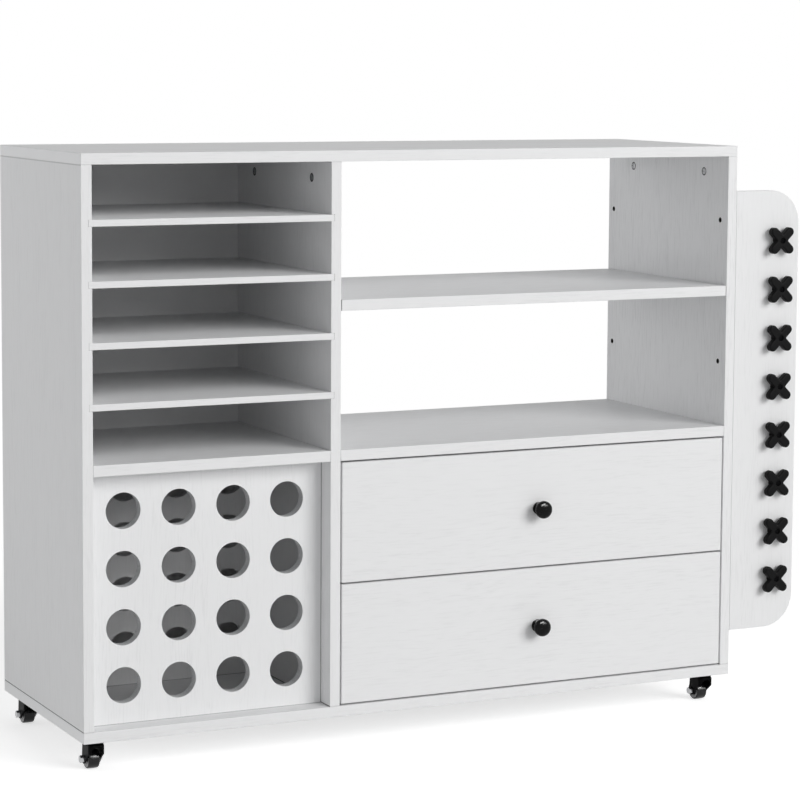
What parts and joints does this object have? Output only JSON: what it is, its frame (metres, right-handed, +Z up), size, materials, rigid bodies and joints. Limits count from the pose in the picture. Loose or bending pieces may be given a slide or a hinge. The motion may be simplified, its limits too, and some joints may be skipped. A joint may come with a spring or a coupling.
{
  "type": "rolling craft cart",
  "caption": "Low cabinet on swivel casters with paper bays, a block of round roll holes, open shelves, drawers and a folding peg panel.",
  "frame": {"origin": "middle of the bounding box's footprint, on the floor", "axes": "+Z up, -Y out of the front, where the drawers open, and +X towards the peg panel, the right side seen from the front"},
  "size_m": [1.1082, 0.364, 0.821],
  "materials": {
    "white_board": "matt white foil with a fine pressed wood grain on particle board",
    "white_sheet": "white lacquered hardboard",
    "beech": "plain turned beech",
    "cam_zinc": "cast zinc alloy, dull",
    "plated_steel": "zinc-plated steel",
    "rail_steel": "white powder-coated sheet steel",
    "knob_black": "glossy black plastic",
    "peg_black": "satin black plastic",
    "screw_black": "black-oxide steel",
    "caster_black": "black-coated pressed steel",
    "wheel_black": "smooth black solid tread"
  },
  "bodies": {
    "cabinet": {"top_board": "white_board", "bottom_board": "white_board", "left_side_panel": "white_board", "divider_panel": "white_board", "right_side_panel": "white_board", "left_back_panel": "white_sheet", "drawer_bay_back_panel": "white_sheet", "fixed_shelf": "white_board", "drawer_deck": "white_board", "roll_panel_front": "white_board", "roll_panel_rear": "white_board", "adjustable_shelf": "white_board", "shelf_pins": "plated_steel", "cam_locks": "cam_zinc", "cam_bolts": "plated_steel", "wood_dowels": "beech", "cabinet_rails": "rail_steel", "cabinet_screws": "plated_steel", "hinge_leaves_cabinet": "plated_steel", "caster_plates": "caster_black", "thin_shelf_1": "white_board", "thin_shelf_2": "white_board", "thin_shelf_3": "white_board", "thin_shelf_4": "white_board"},
    "drawer_lower": {"drawer_lower_front": "white_board", "drawer_lower_side_left": "white_board", "drawer_lower_side_right": "white_board", "drawer_lower_back": "white_board", "drawer_lower_bottom": "white_sheet", "drawer_lower_knob": "knob_black", "drawer_lower_knob_screw": "plated_steel", "drawer_lower_rails": "rail_steel", "drawer_lower_rail_screws": "plated_steel"},
    "drawer_upper": {"drawer_upper_front": "white_board", "drawer_upper_side_left": "white_board", "drawer_upper_side_right": "white_board", "drawer_upper_back": "white_board", "drawer_upper_bottom": "white_sheet", "drawer_upper_knob": "knob_black", "drawer_upper_knob_screw": "plated_steel", "drawer_upper_rails": "rail_steel", "drawer_upper_rail_screws": "plated_steel"},
    "peg_panel": {"wing_panel": "white_board", "wing_pegs": "peg_black", "peg_screws": "screw_black", "hinge_leaves_wing": "plated_steel", "hinge_screws_wing": "plated_steel"},
    "caster_front_left": {"caster_front_left_fork": "caster_black", "caster_front_left_axle": "plated_steel"},
    "wheel_front_left": {"caster_front_left_wheel": "wheel_black"},
    "caster_front_right": {"caster_front_right_fork": "caster_black", "caster_front_right_axle": "plated_steel"},
    "wheel_front_right": {"caster_front_right_wheel": "wheel_black"},
    "caster_back_left": {"caster_back_left_fork": "caster_black", "caster_back_left_axle": "plated_steel"},
    "wheel_back_left": {"caster_back_left_wheel": "wheel_black"},
    "caster_back_right": {"caster_back_right_fork": "caster_black", "caster_back_right_axle": "plated_steel"},
    "wheel_back_right": {"caster_back_right_wheel": "wheel_black"}
  },
  "joints": [
    {"name": "drawer_lower_slide", "type": "slide", "parent": "cabinet", "child": "drawer_lower", "axis": [0, -1, 0], "range_m": [0, 0.23]},
    {"name": "drawer_upper_slide", "type": "slide", "parent": "cabinet", "child": "drawer_upper", "axis": [0, -1, 0], "range_m": [0, 0.23]},
    {"name": "peg_panel_fold", "type": "hinge", "parent": "cabinet", "child": "peg_panel", "pos_m": [0.4497, -0.1422, 0.4325], "axis": [0, 0, 1], "range_deg": [0, 90]},
    {"name": "caster_front_left_swivel", "type": "hinge", "parent": "cabinet", "child": "caster_front_left", "pos_m": [-0.5286, -0.1245, 0.038], "axis": [0, 0, 1], "continuous": true},
    {"name": "wheel_front_left_spin", "type": "hinge", "parent": "caster_front_left", "child": "wheel_front_left", "pos_m": [-0.5286, -0.1145, 0.0135], "axis": [1, 0, 0], "continuous": true},
    {"name": "caster_front_right_swivel", "type": "hinge", "parent": "cabinet", "child": "caster_front_right", "pos_m": [0.4204, -0.1245, 0.038], "axis": [0, 0, 1], "continuous": true},
    {"name": "wheel_front_right_spin", "type": "hinge", "parent": "caster_front_right", "child": "wheel_front_right", "pos_m": [0.4204, -0.1145, 0.0135], "axis": [1, 0, 0], "continuous": true},
    {"name": "caster_back_left_swivel", "type": "hinge", "parent": "cabinet", "child": "caster_back_left", "pos_m": [-0.5286, 0.1485, 0.038], "axis": [0, 0, 1], "continuous": true},
    {"name": "wheel_back_left_spin", "type": "hinge", "parent": "caster_back_left", "child": "wheel_back_left", "pos_m": [-0.5286, 0.1585, 0.0135], "axis": [1, 0, 0], "continuous": true},
    {"name": "caster_back_right_swivel", "type": "hinge", "parent": "cabinet", "child": "caster_back_right", "pos_m": [0.4204, 0.1485, 0.038], "axis": [0, 0, 1], "continuous": true},
    {"name": "wheel_back_right_spin", "type": "hinge", "parent": "caster_back_right", "child": "wheel_back_right", "pos_m": [0.4204, 0.1585, 0.0135], "axis": [1, 0, 0], "continuous": true}
  ]
}
